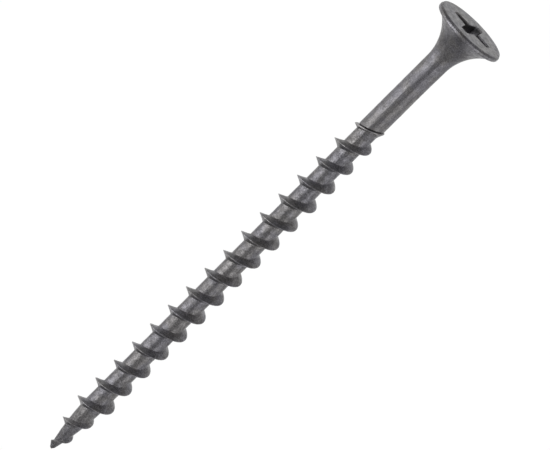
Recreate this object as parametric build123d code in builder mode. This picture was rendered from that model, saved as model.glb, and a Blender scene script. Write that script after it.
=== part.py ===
from build123d import *
import math
import os

# Bugle-head wood screw with a coarse, single-start, right-hand thread, 2-1/2 in long.
#
# The real screw is one cold-formed piece of steel.  It is modelled as the zones that forming gives it,
# which meet face to face: the upset head, the plain shank, the core between the thread's turns, the
# pinch-formed point and the rolled helical ridge.
#
# Frame: the origin is the centre of the head's flat face, +Z points out of the head along the screw's
# axis, and the wings of the cross recess lie along X and Y.

# ---------------------------------------------------------------- driving dimensions, mm and degrees
inch = 25.4
overall_length = 2.5 * inch

head_radius = 4.03
head_edge_round = 0.15           # rounding between the flat face and the rim
rim_height = 0.50                # from the flat face to the rim's lower edge
rim_overhang = 0.31              # how far the rim stands out over the end of the flare
flare_radius = 5.5               # hollow arc under the head, tangent to the shank
flare_length = 5.15              # from the flat face to where the arc meets the shank

shank_radius = 1.25
shank_end = 14.4                 # from the flat face to the shoulder over the thread
shoulder_length = 0.3            # conical step from the shank down to the core

core_radius = 1.085
point_length = 7.5
tip_radius = 0.19
tip_round = 0.12

pitch = 2.805                    # nine turns to the inch
ridge_height = 0.85              # crest above the core, which gives a 3.87 mm thread
ridge_half_base = 0.53
crest_half_land = 0.025
flank_hollow = 0.02              # how far each flank bows in from a straight line
ridge_overlap = 0.10             # depth that the uncut ridge reaches into the core

first_crest = 1.955              # crest above the tip, measured on the +X side
ridge_begins = -0.45             # places along the ridge, in turns from that first crest
full_height_from = 2.0
full_height_to = 14.8
ridge_ends = 17.05
beginning = 0.22                 # height of the ridge where it begins, as a share of its full height
ending = 0.30                    # and where it ends, just proud of the shank
smooth_sections = 12             # sections in each turn of the ridge's beginning
straight_sections = 24           # and of its end, which is lofted straight from one to the next

recess_wing_radius = 2.45        # cross recess, size 2
recess_wing_half_width = 0.40
recess_inner_corner = 0.69
recess_side_taper = 5.75
recess_depth = 2.6
recess_foot_radius = 1.15
recess_bottom_angle = 140        # included angle of the cone at the bottom

# ---------------------------------------------------------------- derived places
tip_z = -overall_length
point_top_z = tip_z + point_length
shoulder_low_z = -(shank_end + shoulder_length)
first_crest_z = tip_z + first_crest

flare_top_radius = head_radius - rim_overhang
arc_reach = flare_radius + shank_radius - flare_top_radius
flare_rise = math.sqrt(flare_radius**2 - arc_reach**2)

point_drop = core_radius - tip_radius
point_arc_radius = (point_length**2 + point_drop**2) / (2 * point_drop)    # ogive, tangent to the core


def point_radius(height):
    """Radius of the core or of the ogive at a height above the tip."""
    below_top = max(point_length - height, 0)
    return core_radius - point_arc_radius + math.sqrt(point_arc_radius**2 - below_top**2)


def ogive_point(height):
    """A point of the ogive's outline at a height above the tip."""
    return (point_radius(height), tip_z + height)


os.makedirs("parts", exist_ok=True)

# ---------------------------------------------------------------- cross recess, a tool for the head
with BuildPart() as recess:
    with BuildSketch():
        with BuildLine():
            corners = []
            for quarter in range(4):
                turned = Rotation(0, 0, 90 * quarter)
                for x, y in (
                    (recess_wing_radius, -recess_wing_half_width),
                    (recess_wing_radius, recess_wing_half_width),
                    (recess_inner_corner, recess_inner_corner),
                ):
                    corners.append((turned * Pos(x, y)).position)
            Polyline(*corners, close=True)
        make_face()
    extrude(amount=-2 * recess_depth, taper=recess_side_taper)
    with BuildSketch(Plane.XZ):
        with BuildLine():
            foot_z = -recess_depth
            bottom_z = foot_z - recess_foot_radius / math.tan(math.radians(recess_bottom_angle / 2))
            Polyline(
                (0, 0),
                (recess_wing_radius, 0),
                (recess_foot_radius, foot_z),
                (0, bottom_z),
                close=True,
            )
        make_face()
    revolve(axis=Axis.Z, mode=Mode.INTERSECT)

# ---------------------------------------------------------------- bugle head
with BuildPart() as bugle_head:
    with BuildSketch(Plane.XZ):
        with BuildLine():
            Line((0, -flare_length), (shank_radius, -flare_length))
            JernArc(
                start=(shank_radius, -flare_length),
                tangent=(0, 1),
                radius=flare_radius,
                arc_size=-math.degrees(math.asin(flare_rise / flare_radius)),
            )
            Polyline(
                (flare_top_radius, -flare_length + flare_rise),
                (head_radius, -rim_height),
                (head_radius, 0),
                (0, 0),
                (0, -flare_length),
            )
        make_face()
    revolve(axis=Axis.Z)
    rim_edge = bugle_head.faces().sort_by(Axis.Z)[-1].edges()
    fillet(rim_edge, radius=head_edge_round)
    add(recess.part, mode=Mode.SUBTRACT)

# ---------------------------------------------------------------- shank
with BuildPart() as shank:
    with BuildSketch(Plane.XZ):
        with BuildLine():
            Polyline(
                (0, -flare_length),
                (shank_radius, -flare_length),
                (shank_radius, -shank_end),
                (core_radius, shoulder_low_z),
                (0, shoulder_low_z),
                close=True,
            )
        make_face()
    revolve(axis=Axis.Z)

# ---------------------------------------------------------------- core between the turns of the thread
with BuildPart() as thread_core:
    with BuildSketch(Plane.XY.offset(point_top_z)):
        Circle(core_radius)
    extrude(amount=shoulder_low_z - point_top_z)

# ---------------------------------------------------------------- gimlet point
with BuildPart() as gimlet_point:
    with BuildSketch(Plane.XZ):
        with BuildLine():
            ThreePointArc(ogive_point(0), ogive_point(point_length / 2), ogive_point(point_length))
            Polyline(ogive_point(point_length), (0, point_top_z), (0, tip_z), ogive_point(0))
        make_face()
    revolve(axis=Axis.Z)
    tip_edge = gimlet_point.faces().sort_by(Axis.Z)[0].edges()
    fillet(tip_edge, radius=tip_round)


# ---------------------------------------------------------------- thread
def rolled_height(turns):
    """Height of the ridge over the core, at a place given in turns."""
    if turns < full_height_from:
        grown = (turns - ridge_begins) / (full_height_from - ridge_begins)
        return ridge_height * (beginning + (1 - beginning) * grown**0.6)
    if turns > full_height_to:
        left = (ridge_ends - turns) / (ridge_ends - full_height_to)
        return ridge_height * (ending + (1 - ending) * math.sin(left * math.pi / 2))
    return ridge_height


def ridge_plane(turns):
    """Radial plane at a place along the ridge, with x outwards and y towards the head."""
    angle = 2 * math.pi * turns
    outwards = (math.cos(angle), math.sin(angle), 0)
    backwards = (math.sin(angle), -math.cos(angle), 0)
    return Plane(origin=(0, 0, first_crest_z + pitch * turns), x_dir=outwards, z_dir=backwards)


def ridge_section(turns, height):
    """Section of the ridge, rooted a little deeper than the surface that it grows from."""
    root = point_radius(first_crest + pitch * turns)
    inner = max(root - ridge_overlap, root / 2)
    crest = root + height
    size = height / ridge_height
    half_base = ridge_half_base * size**0.7
    mid = (inner + crest) / 2
    half_mid = (half_base + crest_half_land) / 2 - flank_hollow * size
    with BuildSketch(ridge_plane(turns)) as section:
        with BuildLine():
            ThreePointArc((inner, -half_base), (mid, -half_mid), (crest, -crest_half_land))
            Line((crest, -crest_half_land), (crest, crest_half_land))
            ThreePointArc((crest, crest_half_land), (mid, half_mid), (inner, half_base))
            Line((inner, half_base), (inner, -half_base))
        make_face()
    return section.sketch


def tapered_ridge(begin, end, sections_per_turn):
    """Sections of the ridge from one place to another, evenly spaced."""
    steps = math.ceil((end - begin) * sections_per_turn)
    turns = [begin + (end - begin) * step / steps for step in range(steps + 1)]
    return [ridge_section(place, rolled_height(place)) for place in turns]


with BuildPart() as thread:
    with BuildLine() as helix:
        Helix(
            pitch=pitch,
            height=pitch * (full_height_to - full_height_from),
            radius=core_radius,
            center=(0, 0, first_crest_z + pitch * full_height_from),
        )
    sweep(ridge_section(full_height_from, ridge_height), path=helix.line, is_frenet=True)
    loft(tapered_ridge(ridge_begins, full_height_from, smooth_sections))
    loft(tapered_ridge(full_height_to, ridge_ends, straight_sections), ruled=True)
    for solid in (shank, thread_core, gimlet_point):
        add(solid.part, mode=Mode.SUBTRACT)

# ---------------------------------------------------------------- write the pieces
pieces = {
    "bugle_head": bugle_head,
    "shank": shank,
    "thread_core": thread_core,
    "gimlet_point": gimlet_point,
    "thread": thread,
}
for name, piece in pieces.items():
    piece.part.label = name
    export_step(piece.part, f"parts/{name}.step")
    print(name, piece.part.is_valid, len(piece.part.solids()), round(piece.part.volume, 3))
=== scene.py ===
"""Looks of a bugle-head wood screw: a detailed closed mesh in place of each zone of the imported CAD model.

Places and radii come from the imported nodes.  Shapes are worked out in mm and turned into metres when a
mesh is made.  The screw stands along Z with its head's flat face at z = 0.  Heights count up from the tip,
and places along the thread count in turns from the first crest on the +X side.
"""
import math

import bpy
import numpy as np
from mathutils import Matrix, Vector


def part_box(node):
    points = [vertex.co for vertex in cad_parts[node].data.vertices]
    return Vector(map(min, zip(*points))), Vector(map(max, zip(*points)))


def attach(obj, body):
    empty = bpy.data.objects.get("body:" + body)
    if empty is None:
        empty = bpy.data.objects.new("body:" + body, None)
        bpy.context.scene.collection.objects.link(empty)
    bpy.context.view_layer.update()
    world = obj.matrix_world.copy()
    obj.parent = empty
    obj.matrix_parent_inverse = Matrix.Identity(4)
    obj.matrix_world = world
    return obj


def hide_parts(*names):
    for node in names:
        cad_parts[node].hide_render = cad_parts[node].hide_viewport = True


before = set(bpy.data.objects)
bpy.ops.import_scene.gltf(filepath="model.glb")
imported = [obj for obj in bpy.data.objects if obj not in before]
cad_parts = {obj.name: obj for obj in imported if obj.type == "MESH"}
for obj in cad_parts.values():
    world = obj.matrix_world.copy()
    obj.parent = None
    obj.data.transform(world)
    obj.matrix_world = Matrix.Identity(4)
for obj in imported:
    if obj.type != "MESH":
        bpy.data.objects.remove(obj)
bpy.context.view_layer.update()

MM = 0.001


def box_mm(node):
    """Lowest and highest corner of a CAD node, in mm."""
    low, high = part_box(node)
    return np.array(low) / MM, np.array(high) / MM


# ---------------------------------------------------------------- sizes from the frame, mm
head_low, head_high = box_mm("bugle_head")
shank_low, shank_high = box_mm("shank")
_, core_high = box_mm("thread_core")
point_low, point_high = box_mm("gimlet_point")
_, thread_high = box_mm("thread")

FACE_Z = head_high[2]
HEAD_R = head_high[0]
FLARE_Z = head_low[2]
SHANK_R = shank_high[0]
SHANK_LOW_Z = shank_low[2]
CORE_R = core_high[0]
POINT_Z = point_high[2]
TIP_Z = point_low[2]
CREST_R = thread_high[0]

# ---------------------------------------------------------------- sizes of the blank, mm
TIP_R = 0.19
TIP_NOSE = 0.35                  # height over which the very end closes
POINT_DROP = CORE_R - TIP_R
POINT_LENGTH = POINT_Z - TIP_Z
POINT_ARC = (POINT_LENGTH**2 + POINT_DROP**2) / (2 * POINT_DROP)

SHOULDER = 48.955                # height of the shank's lower edge over the tip
SHOULDER_LEAN = 0.51             # how far that edge rises on one side and falls on the other
SHOULDER_HIGH = math.radians(3)  # direction of its highest place, about Z
SHOULDER_WALL = 0.05             # height of the step from the core to the shank
LEANING_ZONE = (0.4, 4.4)        # distances from the shoulder over which the rings stop leaning with it
PAINTED_SHADE_EDGE = (-0.13, -0.08, 0.03, 0.06)    # heights over that edge where the painted shade in the step's crease begins, is full, thins, ends
SHANK_SWELL = 0.02               # how much the shank thickens towards the flare
SWELL_LENGTH = 3.0

BOW = 0.075                      # how far the screw is bent off its axis
BOW_TURN = math.radians(-167)
BOW_GROWS = (12.0, 46.0)         # heights over which the bend grows
BOW_SHRINKS = (54.0, 66.0)       # and over which it would shrink to nothing, just past the head

SIDES = 256                      # points round each turned surface
EDGE_ZONE = 0.3                  # how far over the shoulder the rings are close together
EDGE_STEP = 0.02                 # their spacing there, and elsewhere
SHANK_STEP = 0.09
CORE_STEP = 0.12
POINT_STEP = 0.08
NOSE_RINGS = 12
NOSE_FIRST = 0.08                # size of the ring nearest to the tip, against the last one

# ---------------------------------------------------------------- sizes of the thread, mm and turns
PITCH = 2.805
FIRST_CREST = 1.955              # height of the first crest on the +X side
FULL_RIDGE = CREST_R - CORE_R
RIDGE_HALF_BASE = 0.50
CREST_HALF_LAND = 0.022
WIDTH_POWER = 0.7                # a low ridge is wider for its height than a full one
TOE_SHARE = 0.07                 # part of the flank's width that lies in its hollow toe
TOE_POWER = 6
FOOT_SHARE = -0.1                # the ridge's hidden underside, as a share of its height,
FOOT_SPREAD = 0.06               # how much wider it is,
FOOT_DEPTH = 0.05                # and how far it lies inside the blank
CREST_LOWEST = 0.02              # least height over the tip, of its crest and of its root
ROOT_LOWEST = 0.05
PLAIN_CORE = SHOULDER - 2.0      # a height at which the blank is plain core
SECTIONS_PER_TURN = 96
FLANK_POINTS = 17

# ridge height along its length: (turns, mm above the core)
RIDGE_HEIGHTS = (
    (-0.60, 0.06), (-0.52, 0.18), (-0.44, 0.23), (0.04, 0.38), (0.54, 0.62), (1.04, 0.43),
    (1.54, 0.85), (2.04, 0.84), (2.54, 0.83), (3.04, 0.74), (3.54, 0.78), (5.04, 0.78),
    (6.54, 0.86), (8.54, 0.86), (9.54, 0.78), (10.54, 0.88), (14.54, 0.85), (15.04, 0.74),
    (15.54, 0.88), (16.04, 0.68), (16.54, 0.48), (17.04, 0.29), (17.30, 0.15), (17.45, 0.05),
)

FIRST_FLANK = (-0.4, -0.1)       # turns over which the first flank on the tip's side draws in
FIRST_SPREAD = 1.5               # and how much wider it is before them
ROUGH_TURNS = 1.5                # until here the ridge is broader on one side of the screw
ROUGH_BREADTH = 0.3
ROUGH_SIDE = math.radians(13)

# the last turn runs beside the shoulder; these are turns over which it changes
LAST_NARROWS = (16.20, 16.50)    # its flank on the tip's side becomes narrower
LAST_COMES_UP = (16.50, 16.70)   # its crest comes up to the shoulder
LAST_FLATTENS = (16.54, 16.66)   # its crest becomes flat
LAST_CLOSES = (16.70, 17.05)     # its crest closes up with the shoulder
LAST_FADES = (16.85, 17.05)      # its flank on the tip's side spreads out to the core
LAST_NARROWING = 0.32
LAST_SPREAD = 4.0
LAST_LAND = 0.10                 # width of its flat crest
LAST_HEAD_SIDE = 0.08            # width of its flank on the shoulder's side
GAP_BEFORE = 0.35                # from its crest to the shoulder: before it comes up, beside it, at the end
GAP_BESIDE = 0.10
GAP_AT_END = 0.02

# ---------------------------------------------------------------- sizes of the head, mm
FLARE_ARC = 5.5
# rim from the flare's edge over the bead and the sloping wall to the face: (inwards, below the face)
RIM = (
    (0.220, 0.600), (0.120, 0.585), (0.050, 0.550), (0.015, 0.500), (0.000, 0.420),
    (0.000, 0.320), (0.005, 0.245), (0.020, 0.208), (0.042, 0.194), (0.054, 0.180),
    (0.074, 0.120), (0.096, 0.060), (0.114, 0.026), (0.138, 0.006), (0.180, 0.000),
)
FLARE_EDGE = 0.64                # where the flare meets the rim, below the face
BEAD = (0.22, 0.57)              # part of the rim given a painted highlight, below the face
# value of the painted highlight on the bead
BEAD_HIGHLIGHT = 0.93
GROOVE = (0.04, 0.20)            # part of the rim painted darker, as painted shade in its groove
# strength of the painted shade in the rim's groove
GROOVE_PAINTED_SHADE = 0.6

RECESS_R = 2.45
RECESS_HALF_WIDTH = 0.40
RECESS_CORNER = 0.69
RECESS_DEPTH = 2.6
RECESS_FOOT = 1.15
RECESS_BOTTOM = 3.0
RECESS_TAPER = math.radians(5.75)
RECESS_EDGE = 0.09               # rounding of the recess's mouth
RECESS_SHIFT = 0.07              # how far off centre the recess was punched
RECESS_SHADE_FULL = 0.15             # depth at which the painted shade on its walls is full
RECESS_PAINTED_LIGHT = (0.35, 0.85)    # depths over which the walls are painted lighter, as painted light, while the painted shade fades
CORNER_POWER = 14                # sharpness of the corners at the ends of the wings

HEAD_SIDES = 384
FINE_SIDES = 4000                # directions tried when the head's sides are spaced out
SPACING_BY_ANGLE = 2.2           # weight of the angle, against the length of the recess's edge
FLARE_STEP = 0.08
FACE_RINGS = 25
MOUTH_RINGS = 6
WALL_RINGS = 29
FLOOR_RINGS = 7
FLOOR_REACH = 0.96               # how near to its centre the rings of the recess's floor come

# ---------------------------------------------------------------- marks on the surfaces
# each layer of lumps: (depth in mm, size in mm, seed)
DRAWING_LINES = ((0.006, 1.0, 11), (0.004, (0.45, 0.45, 0.3), 12))
DENTS = ((0.012, 0.6, 13), (0.004, 0.22, 14))
SHANK_DENTS = 0.5                # depth of the dents on the shank, against the rolled part
RIDGE_MARKS = ((0.005, 0.3, 22), (0.004, 0.9, 23))
RIDGE_WAVES = ((0.008, 0.5, 24),)
FLOW_LINES = ((0.006, 0.8, 31),)
FORGING_MARKS = ((0.006, 0.9, 32), (0.012, 2.4, 33))
FACE_MARKS = ((0.006, 0.5, 34), (0.004, 0.25, 35))
# the same for changes along the thread
RISE_CHANGES = ((0.015, 1.0, 21),)
CREST_CHANGES = ((0.02, 1.4, 25),)
THREAD_SCALE = 2.5               # mm of noise for each turn

MARK_CIRCLE = 9.0                # lines are drawn on a circle this large, so they are narrow on the screw
DRAWN_OUT = 6                    # how much longer the drawing lines are made
FLOWED_OUT = 1.25                # and the flow lines of the head
FORGED_OVER = 1 / 3              # share of the head's height over which its marks grow
FACE_MARGIN = 0.15               # the face's marks fade this near to its edge
TABLE_SIZE = 32                  # cells of the noise table along each axis

SHARP_ANGLE = math.radians(50)   # edges that turn more than this are shaded as corners


# ---------------------------------------------------------------- small helpers
def smooth(x):
    """Step from 0 to 1 with flat ends."""
    x = np.clip(x, 0, 1)
    return x * x * (3 - 2 * x)


def ramp(value, begin, end):
    """Smooth step from 0 at begin to 1 at end."""
    return smooth((value - begin) / (end - begin))


def steps(begin, end, size):
    """Evenly spaced values from begin to end, about size apart."""
    return np.linspace(begin, end, max(2, int(round(abs(end - begin) / size)) + 1))


def lumps(points, cell, seed):
    """Smooth noise between -1 and 1 at points in mm, with lumps of the size of cell."""
    table = np.random.default_rng(seed).uniform(-1, 1, (TABLE_SIZE,) * 3)
    place = points / np.asarray(cell, float)
    low = np.floor(place).astype(int)
    part = smooth(place - low)
    total = np.zeros(points.shape[:-1])
    for corner in np.ndindex(2, 2, 2):
        share = np.prod(np.where(np.array(corner) == 1, part, 1 - part), axis=-1)
        x, y, z = np.moveaxis((low + corner) % TABLE_SIZE, -1, 0)
        total += share * table[x, y, z]
    return total


def marks(points, layers):
    """Sum of layers of lumps at points in mm."""
    return sum(depth * lumps(points, size, seed) for depth, size, seed in layers)


def round_place(radius, angle, z):
    """Points from cylindrical coordinates."""
    radius, angle, z = np.broadcast_arrays(radius, angle, z)
    return np.stack([radius * np.cos(angle), radius * np.sin(angle), z], axis=-1)


def bow(points):
    """Points moved by the slight bend of the shank, mostly between the thread's middle and the flare."""
    along = points[..., 2] - TIP_Z
    bend = BOW * ramp(along, *BOW_GROWS) * (1 - ramp(along, *BOW_SHRINKS))
    return points + bend[..., None] * [math.cos(BOW_TURN), math.sin(BOW_TURN), 0]


def tube_mesh(name, rings, attributes=None):
    """Closed mesh from rings of points, mm, with a fan over the first and the last ring."""
    rings = bow(rings)
    count, sides = rings.shape[:2]
    ends = np.stack([rings[0].mean(axis=0), rings[-1].mean(axis=0)])
    points = np.concatenate([rings.reshape(-1, 3), ends]) * MM
    ring, side = np.meshgrid(np.arange(count - 1), np.arange(sides), indexing="ij")
    here = ring * sides + side
    beside = ring * sides + (side + 1) % sides
    faces = np.stack([here, beside, beside + sides, here + sides], axis=-1).reshape(-1, 4).tolist()
    first, last = count * sides, count * sides + 1
    for k in range(sides):
        after = (k + 1) % sides
        faces.append([first, after, k])
        faces.append([last, (count - 1) * sides + k, (count - 1) * sides + after])
    mesh = bpy.data.meshes.new(name)
    mesh.from_pydata(points.tolist(), [], faces)
    for key, values in (attributes or {}).items():
        layer = mesh.attributes.new(key, "FLOAT", "POINT")
        flat = np.concatenate([values.reshape(-1), [values[0].mean(), values[-1].mean()]])
        layer.data.foreach_set("value", flat.astype(np.float32))
    mesh.shade_smooth()
    mesh.set_sharp_from_angle(angle=SHARP_ANGLE)
    mesh.update()
    piece = bpy.data.objects.new(name, mesh)
    bpy.context.scene.collection.objects.link(piece)
    return piece


def turn_outward(piece):
    """Point all faces of a closed piece outwards."""
    bpy.context.view_layer.objects.active = piece
    piece.select_set(True)
    bpy.ops.object.mode_set(mode="EDIT")
    bpy.ops.mesh.select_all(action="SELECT")
    bpy.ops.mesh.normals_make_consistent(inside=False)
    bpy.ops.object.mode_set(mode="OBJECT")
    piece.select_set(False)


# ---------------------------------------------------------------- the blank: shank, core and point
def shoulder_height(angle):
    """Height of the shank's lower edge: a plane that leans along with the last turn."""
    return SHOULDER + SHOULDER_LEAN * np.cos(angle - SHOULDER_HIGH)


def blank_radius(angle, height):
    """Radius of the screw without its ridge."""
    below = np.clip(POINT_LENGTH - height, 0, POINT_LENGTH)
    ogive = CORE_R - POINT_ARC + np.sqrt(POINT_ARC**2 - below**2)
    over = smooth((height - shoulder_height(angle)) / SHOULDER_WALL)
    swell = SHANK_SWELL * ramp(height + TIP_Z, FLARE_Z - SWELL_LENGTH, FLARE_Z)
    return ogive + (SHANK_R - CORE_R) * over + swell


def rolled_surface(angle, height):
    """Points of the blank with its drawing lines and dents."""
    radius = blank_radius(angle, height)
    lines = marks(round_place(MARK_CIRCLE, angle, height / DRAWN_OUT), DRAWING_LINES)
    dents = marks(round_place(radius, angle, height), DENTS)
    thin = np.clip(radius / CORE_R, 0, 1)
    rolled = 1 - (1 - SHANK_DENTS) * smooth(height - shoulder_height(angle))
    return round_place(radius + (lines + dents * rolled) * thin, angle, height + TIP_Z)


def blank_rings(heights):
    """Rings of the blank that lean with the shoulder where they are near it."""
    angle = np.linspace(0, 2 * math.pi, SIDES, endpoint=False)
    height, angle = np.meshgrid(heights, angle, indexing="ij")
    near = 1 - ramp(np.abs(height - SHOULDER), *LEANING_ZONE)
    height = height + near * (shoulder_height(angle) - SHOULDER)
    return rolled_surface(angle, height)


def make_shank():
    """The plain part, with painted shade along its lower edge, in the crease of the step."""
    above_edge = SHOULDER + EDGE_ZONE
    rings = blank_rings(np.concatenate([
        steps(SHANK_LOW_Z - TIP_Z, above_edge, EDGE_STEP)[:-1],
        steps(above_edge, FLARE_Z - TIP_Z, SHANK_STEP),
    ]))
    angle = np.arctan2(rings[..., 1], rings[..., 0])
    over = rings[..., 2] - TIP_Z - shoulder_height(angle)
    # painted shade: the shank is painted darker in the crease where its step meets the core
    begins, full, thins, ends = PAINTED_SHADE_EDGE
    painted_shade = ramp(over, begins, full) * (1 - ramp(over, thins, ends))
    return tube_mesh("shank", rings, {"painted_shade": painted_shade})


def make_core():
    """The cylinder between the turns of the thread."""
    heights = steps(POINT_LENGTH, SHANK_LOW_Z - TIP_Z, CORE_STEP)
    return tube_mesh("thread_core", blank_rings(heights))


def make_point():
    """The point, with its very end drawn in to a small nose."""
    nose = TIP_NOSE * np.linspace(NOSE_FIRST, 1, NOSE_RINGS)**2
    heights = np.concatenate([nose, steps(TIP_NOSE, POINT_LENGTH, POINT_STEP)[1:]])
    rings = blank_rings(heights)
    rings[..., :2] *= np.sqrt(np.clip(heights / TIP_NOSE, 0, 1))[:, None, None]
    return tube_mesh("gimlet_point", rings)


# ---------------------------------------------------------------- thread
def along_thread(turns, layers):
    """Slow change along the thread."""
    return marks(np.stack([turns * THREAD_SCALE, turns * 0, turns * 0], axis=-1), layers)


def ridge_rise(turns):
    """Height of the crest over the blank."""
    places, heights = np.array(RIDGE_HEIGHTS).T
    return np.interp(turns, places, heights) * (1 + along_thread(turns, RISE_CHANGES))


def crest_height(turns):
    """Height of the crest over the tip: an even helix that the shoulder holds back at its end."""
    free = FIRST_CREST + PITCH * turns + along_thread(turns, CREST_CHANGES)
    gap = GAP_BEFORE + (GAP_BESIDE - GAP_BEFORE) * ramp(turns, *LAST_COMES_UP)
    gap = gap + (GAP_AT_END - GAP_BESIDE) * ramp(turns, *LAST_CLOSES)
    return np.minimum(free, shoulder_height(2 * math.pi * turns) - gap)


def half_section():
    """One flank of the ridge from root to crest: shares of its height, and distances from its middle."""
    share = np.concatenate([[FOOT_SHARE], np.linspace(0, 1, FLANK_POINTS)])
    inside = 1 - np.clip(share, 0, 1)
    hollow = (1 - TOE_SHARE) * inside + TOE_SHARE * inside**TOE_POWER
    flank = CREST_HALF_LAND + (RIDGE_HALF_BASE - CREST_HALF_LAND) * hollow
    flank[0] += FOOT_SPREAD
    return share, flank


def flank_widths(turns, size):
    """Widths of the flanks on the tip's side and on the head's side, against a full ridge's."""
    width = size**WIDTH_POWER
    head_width = width + (LAST_HEAD_SIDE / RIDGE_HALF_BASE - width) * ramp(turns, *LAST_FLATTENS)
    tip_width = width * (1 + FIRST_SPREAD * (1 - ramp(turns, *FIRST_FLANK)))
    tip_width = tip_width * (1 - LAST_NARROWING * ramp(turns, *LAST_NARROWS))
    tip_width = tip_width * (1 + LAST_SPREAD * ramp(turns, *LAST_FADES))
    facing = np.clip(np.cos(2 * math.pi * turns - ROUGH_SIDE), 0, 1)
    broad = 1 + ROUGH_BREADTH * facing * (turns < ROUGH_TURNS)
    return broad * tip_width, broad * head_width


def make_thread():
    """The helical ridge: a section of two flanks carried round the blank, worn towards its crest."""
    turns = steps(RIDGE_HEIGHTS[0][0], RIDGE_HEIGHTS[-1][0], 1 / SECTIONS_PER_TURN)[:, None]
    rise = ridge_rise(turns)
    size = np.clip(rise / FULL_RIDGE, 0, 1)
    tip_width, head_width = flank_widths(turns, size)

    share, flank = half_section()
    tip_side = np.concatenate([flank, 0 * flank])
    head_side = np.concatenate([0 * flank, flank[::-1]])
    share = np.concatenate([share, share[::-1]])
    out = np.clip(share, 0, 1)

    height = crest_height(turns) + head_side * head_width - tip_side * tip_width
    height = height - LAST_LAND * ramp(turns, *LAST_FLATTENS) * (tip_side > 0)
    height = np.maximum(height, ROOT_LOWEST + (CREST_LOWEST - ROOT_LOWEST) * share)
    angle = 2 * math.pi * turns
    root = blank_radius(angle, np.minimum(height, PLAIN_CORE))
    radius = np.where(share < 0, np.maximum(root - FOOT_DEPTH, root / 2), root + out * rise)

    bare = round_place(radius, angle, height)
    radius = radius + marks(bare, RIDGE_MARKS) * out
    height = height + marks(bare, RIDGE_WAVES) * out
    rings = round_place(radius, angle, height + TIP_Z)
    return tube_mesh("thread", rings, {"wear_and_painted_light": 1 - (1 - out) * size})


# ---------------------------------------------------------------- head
ON_RIM, ON_FACE, ON_MOUTH, IN_RECESS = range(4)


def recess_radius(angle, inwards, end_radius):
    """Distance from the axis to the recess's wall, for a cross drawn in by an amount."""
    folded = np.abs((angle + math.pi / 4) % (math.pi / 2) - math.pi / 4)
    slope = np.array([RECESS_CORNER - RECESS_HALF_WIDTH, RECESS_R - RECESS_CORNER])
    slope = slope / np.linalg.norm(slope)
    reach = slope.sum() * RECESS_CORNER - inwards
    side = reach / (slope[0] * np.cos(folded) + slope[1] * np.sin(folded))
    return (side**-CORNER_POWER + end_radius**-CORNER_POWER) ** (-1 / CORNER_POWER)


def head_angles():
    """Directions round the head, closer together where the recess's walls run along them."""
    fine = np.linspace(0, 2 * math.pi, FINE_SIDES, endpoint=False)
    edge = round_place(recess_radius(fine, 0.0, RECESS_R), fine, 0)
    step = np.linalg.norm(np.roll(edge, -1, axis=0) - edge, axis=-1) + SPACING_BY_ANGLE * fine[1]
    total = np.concatenate([[0], np.cumsum(step)])
    places = np.linspace(0, total[-1], HEAD_SIDES, endpoint=False)
    return np.interp(places, total, np.append(fine, 2 * math.pi))


def rim_rings(angle):
    """Rings from the shank joint up the flare and over the rim to the face."""
    rings = []
    for z in steps(FLARE_Z, FACE_Z - FLARE_EDGE, FLARE_STEP):
        rise = z - FLARE_Z
        arc = SHANK_R + FLARE_ARC - math.sqrt(FLARE_ARC**2 - rise**2)
        rings.append(round_place(arc + SHANK_SWELL * math.exp(-rise), angle, z))
    for inwards, below in RIM:
        rings.append(round_place(HEAD_R - inwards, angle, FACE_Z - below))
    return rings


def face_rings(angle, outer):
    """Rings over the flat face, from its outer edge to the recess's mouth."""
    mouth = recess_radius(angle, -RECESS_EDGE, RECESS_R + RECESS_EDGE)
    rings = []
    for share in np.linspace(0, 1, FACE_RINGS + 1)[1:]:
        ring = round_place(outer + (mouth - outer) * share, angle, FACE_Z)
        rings.append(ring + [RECESS_SHIFT * share, 0, 0])
    return rings


def mouth_rings(angle):
    """Rings round the recess's rounded edge."""
    rings = []
    for bend in np.linspace(0, math.pi / 2, MOUTH_RINGS + 1)[1:]:
        back = RECESS_EDGE * (1 - math.sin(bend))
        drop = RECESS_EDGE * (1 - math.cos(bend))
        wall = recess_radius(angle, -back, RECESS_R + back)
        rings.append(round_place(wall, angle, FACE_Z - drop) + [RECESS_SHIFT, 0, 0])
    return rings


def recess_rings(angle):
    """Rings down the recess's walls and over its floor."""
    rings = []
    for depth in np.linspace(RECESS_EDGE, RECESS_DEPTH, WALL_RINGS + 1)[1:]:
        end = RECESS_R + (RECESS_FOOT - RECESS_R) * depth / RECESS_DEPTH
        wall = recess_radius(angle, (depth - RECESS_EDGE) * math.tan(RECESS_TAPER), end)
        rings.append(round_place(wall, angle, FACE_Z - depth))
    foot = rings[-1]
    for share in np.linspace(0, FLOOR_REACH, FLOOR_RINGS + 1)[1:]:
        drop = (RECESS_BOTTOM - RECESS_DEPTH) * share
        rings.append(foot * [1 - share, 1 - share, 1] - [0, 0, drop])
    return [ring + [RECESS_SHIFT, 0, 0] for ring in rings]


def forge(rings, part, outer):
    """Leave the marks of forging on the flare, the rim and the face."""
    radius = np.linalg.norm(rings[..., :2], axis=-1)
    around = np.arctan2(rings[..., 1], rings[..., 0])
    flow = round_place(MARK_CIRCLE, around, radius / FLOWED_OUT)
    up_head = (rings[..., 2] - FLARE_Z) / (FACE_Z - FLARE_Z)
    sides = marks(flow, FLOW_LINES) + marks(rings, FORGING_MARKS)
    sides = sides * (part == ON_RIM) * np.clip(up_head / FORGED_OVER, 0, 1)
    level = marks(rings, FACE_MARKS) * (part == ON_FACE) * np.clip((outer - radius) / FACE_MARGIN, 0, 1)
    return rings + np.stack([sides * np.cos(around), sides * np.sin(around), level], axis=-1)


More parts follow.
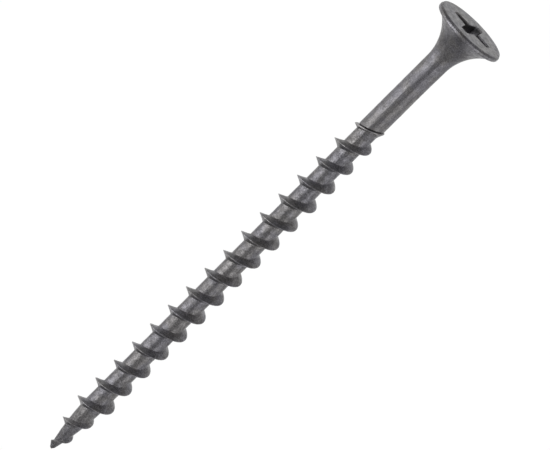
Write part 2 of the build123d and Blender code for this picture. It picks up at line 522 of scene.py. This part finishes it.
def make_head():
    """Bugle head with its rolled rim and cross recess, with painted shade in the rim's groove and at the
    recess's mouth, painted light further down the recess, and a painted highlight on the rim's bead.
    """
    angle = head_angles()
    outer = HEAD_R - RIM[-1][0]
    groups = (rim_rings(angle), face_rings(angle, outer), mouth_rings(angle), recess_rings(angle))
    part = np.repeat([ON_RIM, ON_FACE, ON_MOUTH, IN_RECESS], [len(group) for group in groups])[:, None]
    rings = forge(np.concatenate(groups), part, outer)

    # painted shade in the rim's groove and near the recess's mouth; painted light deeper in the recess; a
    # painted highlight on the bead
    below = FACE_Z - rings[..., 2]
    groove = (part == ON_RIM) & (below > GROOVE[0]) & (below < GROOVE[1])
    bead = (part == ON_RIM) & (below > BEAD[0]) & (below < BEAD[1])
    recess_light = (part == IN_RECESS) * ramp(below, *RECESS_PAINTED_LIGHT)
    recess_shade = (part == IN_RECESS) * np.clip(below / RECESS_SHADE_FULL, 0, 1) - recess_light
    return tube_mesh("bugle_head", rings, {
        "painted_shade": GROOVE_PAINTED_SHADE * groove + recess_shade,
        "wear_and_painted_light": BEAD_HIGHLIGHT * bead + recess_light,
    })


# ---------------------------------------------------------------- materials
COOL_GREY = (0.150, 0.147, 0.160)
WARM_GREY = (0.159, 0.1535, 0.154)
METALLIC = 0.75
ROUGHNESS = (0.46, 0.30)         # where the mottle is low, and where it is high
STREAKING = 0.14                 # contrast of the streaks
WEAR_OR_HIGHLIGHT_FROM = 0.86                 # value from which a surface brightens: wear on the thread's crests, painted highlight on the head's bead, painted light deep in the recess
WORN_OR_LIT = 1.5                       # brightness at the full value: of a worn crest, and of the head's painted highlight and painted light
UNDER_PAINTED_SHADE = 0.38                    # brightness under full painted shade
BUMP_STRENGTH = 0.6
BUMP_DEPTH = 0.00002             # metres
# layers of noise: (lumps in a metre, octaves)
CRYSTALS = (9500, 3)
MOTTLE = (1900, 4)
CLOUDS = (500, 3)
STREAKS = (5000, 3)
OCTAVE_WEIGHT = 0.55
NOISE_BAND = (0.3, 0.7)          # values of a noise between which its contrast is spread
CLOUD_BAND = (0.38, 0.62)


def noise(tree, scale, octaves, stretch=(1.0, 1.0, 1.0)):
    """Noise over the object's own place, with a number of lumps in a metre."""
    place = tree.nodes.new("ShaderNodeTexCoord")
    mapping = tree.nodes.new("ShaderNodeMapping")
    mapping.inputs["Scale"].default_value = [scale * part for part in stretch]
    texture = tree.nodes.new("ShaderNodeTexNoise")
    texture.inputs["Scale"].default_value = 1.0
    texture.inputs["Detail"].default_value = octaves
    texture.inputs["Roughness"].default_value = OCTAVE_WEIGHT
    tree.links.new(place.outputs["Object"], mapping.inputs["Vector"])
    tree.links.new(mapping.outputs["Vector"], texture.inputs["Vector"])
    return texture.outputs["Fac"]


def surface_value(tree, name):
    """Value that a mesh carries at each of its points."""
    value = tree.nodes.new("ShaderNodeAttribute")
    value.attribute_name = name
    return value.outputs["Fac"]


def spread_over(tree, factor, band, at_low, at_high):
    """Soft step of a factor, over a band of its values, from one value to another."""
    step = tree.nodes.new("ShaderNodeMapRange")
    step.interpolation_type = "SMOOTHSTEP"
    step.inputs["From Min"].default_value = band[0]
    step.inputs["From Max"].default_value = band[1]
    step.inputs["To Min"].default_value = at_low
    step.inputs["To Max"].default_value = at_high
    tree.links.new(factor, step.inputs["Value"])
    return step.outputs["Result"]


def combine(tree, operation, first, second):
    """Sum or product of two outputs."""
    node = tree.nodes.new("ShaderNodeMath")
    node.operation = operation
    tree.links.new(first, node.inputs[0])
    tree.links.new(second, node.inputs[1])
    return node.outputs["Value"]


def tinted(tree, factor, cool, warm, shade):
    """Colour between a cool and a warm grey, scaled by a shade."""
    tint = tree.nodes.new("ShaderNodeMix")
    tint.data_type = "RGBA"
    tint.inputs["A"].default_value = (*cool, 1)
    tint.inputs["B"].default_value = (*warm, 1)
    tree.links.new(factor, tint.inputs["Factor"])
    scaled = tree.nodes.new("ShaderNodeVectorMath")
    scaled.operation = "SCALE"
    tree.links.new(tint.outputs["Result"], scaled.inputs[0])
    tree.links.new(shade, scaled.inputs["Scale"])
    return scaled.outputs["Vector"]


def phosphate(name, stretch=(1.0, 1.0, 1.0), grain=0.46, mottling=0.20):
    """Grey phosphated steel: mottled crystals over a satin metal, with painted shade in creases and
    recesses, wear on the thread's crests, and painted light on the head's bead and deep in its recess.
    """
    material = bpy.data.materials.new(name)
    material.use_nodes = True
    tree = material.node_tree
    shader = tree.nodes["Principled BSDF"]
    shader.inputs["Metallic"].default_value = METALLIC

    crystals = noise(tree, *CRYSTALS)
    mottle = noise(tree, *MOTTLE)
    clouds = noise(tree, *CLOUDS)
    streaks = noise(tree, *STREAKS, stretch)

    shade = spread_over(tree, crystals, NOISE_BAND, 1 - grain, 1 + grain)
    for layer in (
        spread_over(tree, mottle, NOISE_BAND, 1 - mottling, 1 + mottling),
        spread_over(tree, streaks, NOISE_BAND, 1 - STREAKING, 1 + STREAKING),
        # brighter: wear on the thread's crests, and painted highlight and painted light on the head
        spread_over(tree, surface_value(tree, "wear_and_painted_light"), (WEAR_OR_HIGHLIGHT_FROM, 1.0), 1.0, WORN_OR_LIT),
        # darker: painted shade in creases and in the recess
        spread_over(tree, surface_value(tree, "painted_shade"), (0.0, 1.0), 1.0, UNDER_PAINTED_SHADE),
    ):
        shade = combine(tree, "MULTIPLY", shade, layer)
    cloudy = spread_over(tree, clouds, CLOUD_BAND, 0.0, 1.0)
    tree.links.new(tinted(tree, cloudy, COOL_GREY, WARM_GREY, shade), shader.inputs["Base Color"])
    tree.links.new(spread_over(tree, mottle, NOISE_BAND, *ROUGHNESS), shader.inputs["Roughness"])

    bump = tree.nodes.new("ShaderNodeBump")
    bump.inputs["Strength"].default_value = BUMP_STRENGTH
    bump.inputs["Distance"].default_value = BUMP_DEPTH
    tree.links.new(combine(tree, "ADD", crystals, streaks), bump.inputs["Height"])
    tree.links.new(bump.outputs["Normal"], shader.inputs["Normal"])
    return material


# ---------------------------------------------------------------- floor, lights and camera
FLOOR_R = 2.5                    # metres
FLOOR_SIDES = 96

CAMERA_AZIMUTH = 13.0            # degrees
CAMERA_ELEVATION = 17.04
CAMERA_DISTANCE = 0.4406         # metres
CAMERA_TARGET_Z = -0.0290
SCREW_SLANT = 44.86              # degrees between the picture's lower edge and the screw
CAMERA_LENS = 283.0              # mm

BOX_DISTANCE = 0.6               # metres
AMBIENT = 0.36
# soft boxes: azimuth from the camera, elevation, width and height in degrees, brightness
SOFT_BOXES = {
    "key_left": (-70, -17, 40, 33, 2.1),
    "front_left": (-38, 0, 20, 66, 3.4),
    "front_right": (53, 0, 40, 66, 1.15),
    "side_right": (103, 0, 66, 66, 0.5),
    "behind": (170, 0, 66, 66, 0.64),
    "side_left": (-123, 0, 66, 66, 0.5),
    "behind_high": (150, 50, 40, 33, 0.6),
    "behind_low": (180, -50, 90, 33, 0.6),
}


def away(azimuth, elevation):
    """Unit vector from the object towards an azimuth and an elevation, in degrees."""
    a, e = math.radians(azimuth), math.radians(elevation)
    return Vector((math.sin(a) * math.cos(e), -math.cos(a) * math.cos(e), math.sin(e)))


def make_floor():
    """Plain white disc under the tip that glows evenly and leaves the screw's light and shade alone."""
    bpy.ops.mesh.primitive_circle_add(
        vertices=FLOOR_SIDES, radius=FLOOR_R, fill_type="NGON", location=(0, 0, TIP_Z * MM)
    )
    floor = bpy.context.object
    floor.name = "floor"
    material = bpy.data.materials.new("floor_white")
    material.use_nodes = True
    shader = material.node_tree.nodes["Principled BSDF"]
    shader.inputs["Base Color"].default_value = (0.02, 0.02, 0.02, 1)
    shader.inputs["Roughness"].default_value = 1.0
    shader.inputs["Specular IOR Level"].default_value = 0.0
    shader.inputs["Emission Color"].default_value = (1, 1, 1, 1)
    shader.inputs["Emission Strength"].default_value = 1.0
    floor.data.materials.append(material)
    floor.visible_glossy = False
    floor.visible_diffuse = False
    floor.visible_shadow = False


def make_camera():
    """Camera at the photograph's viewing angle, rolled so that the screw slants up to the right."""
    target = Vector((0, 0, CAMERA_TARGET_Z))
    back = away(CAMERA_AZIMUTH, CAMERA_ELEVATION)
    side = Vector((0, 0, 1)).cross(back).normalized()
    top = back.cross(side)
    slant = math.radians(SCREW_SLANT)
    right = math.cos(slant) * top + math.sin(slant) * side
    up = math.sin(slant) * top - math.cos(slant) * side
    turned = Matrix((right, up, back)).transposed().to_4x4()
    data = bpy.data.cameras.new("camera")
    data.lens = CAMERA_LENS
    data.clip_start = 0.01
    camera = bpy.data.objects.new("camera", data)
    camera.matrix_world = Matrix.Translation(target + back * CAMERA_DISTANCE) @ turned
    bpy.context.scene.collection.objects.link(camera)
    bpy.context.scene.camera = camera


def make_soft_box(name, azimuth, elevation, width, height, brightness):
    """Evenly lit panel round the screw, placed and sized by the angles it takes up from there."""
    middle = Vector((0, 0, (FACE_Z + TIP_Z) / 2 * MM))
    back = away(CAMERA_AZIMUTH + azimuth, elevation)
    data = bpy.data.lights.new(name, "AREA")
    data.shape = "RECTANGLE"
    data.size = 2 * BOX_DISTANCE * math.tan(math.radians(width / 2)) * math.cos(math.radians(elevation))
    data.size_y = 2 * BOX_DISTANCE * math.tan(math.radians(height / 2))
    data.energy = brightness * math.pi * data.size * data.size_y
    light = bpy.data.objects.new(name, data)
    light.location = middle + back * BOX_DISTANCE
    light.rotation_mode = "QUATERNION"
    light.rotation_quaternion = back.to_track_quat("Z", "Y")
    light.visible_camera = False
    bpy.context.scene.collection.objects.link(light)


def make_world():
    """Dim even light from all round, which looks plain white past the floor's edge."""
    world = bpy.data.worlds.new("world")
    world.use_nodes = True
    nodes, links = world.node_tree.nodes, world.node_tree.links
    ambient = nodes["Background"]
    ambient.inputs["Color"].default_value = (1, 1, 1, 1)
    ambient.inputs["Strength"].default_value = AMBIENT
    seen = nodes.new("ShaderNodeBackground")
    seen.inputs["Color"].default_value = (1, 1, 1, 1)
    path = nodes.new("ShaderNodeLightPath")
    mix = nodes.new("ShaderNodeMixShader")
    links.new(path.outputs["Is Camera Ray"], mix.inputs["Fac"])
    links.new(ambient.outputs["Background"], mix.inputs[1])
    links.new(seen.outputs["Background"], mix.inputs[2])
    links.new(mix.outputs["Shader"], nodes["World Output"].inputs["Surface"])
    bpy.context.scene.world = world


# ---------------------------------------------------------------- the scene
# how much the streaks are shrunk along each axis where the steel was drawn, and where it flowed
DRAWN = (1.0, 1.0, 0.12)
FLOWED = (1.0, 1.0, 0.3)
makers = {
    "bugle_head": (make_head, phosphate("phosphated_head", FLOWED, grain=0.38, mottling=0.13)),
    "shank": (make_shank, phosphate("phosphated_shank", DRAWN, grain=0.36, mottling=0.11)),
    "thread_core": (make_core, phosphate("phosphated_core")),
    "gimlet_point": (make_point, phosphate("phosphated_point")),
    "thread": (make_thread, phosphate("phosphated_thread")),
}
for node, (make, finish) in makers.items():
    piece = make()
    turn_outward(piece)
    piece.name = node + "_detail"
    piece.data.materials.append(finish)
    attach(piece, "root")
    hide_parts(node)

make_world()
make_floor()
for name, box in SOFT_BOXES.items():
    make_soft_box(name, *box)
make_camera()
bpy.context.scene.view_settings.view_transform = "Standard"
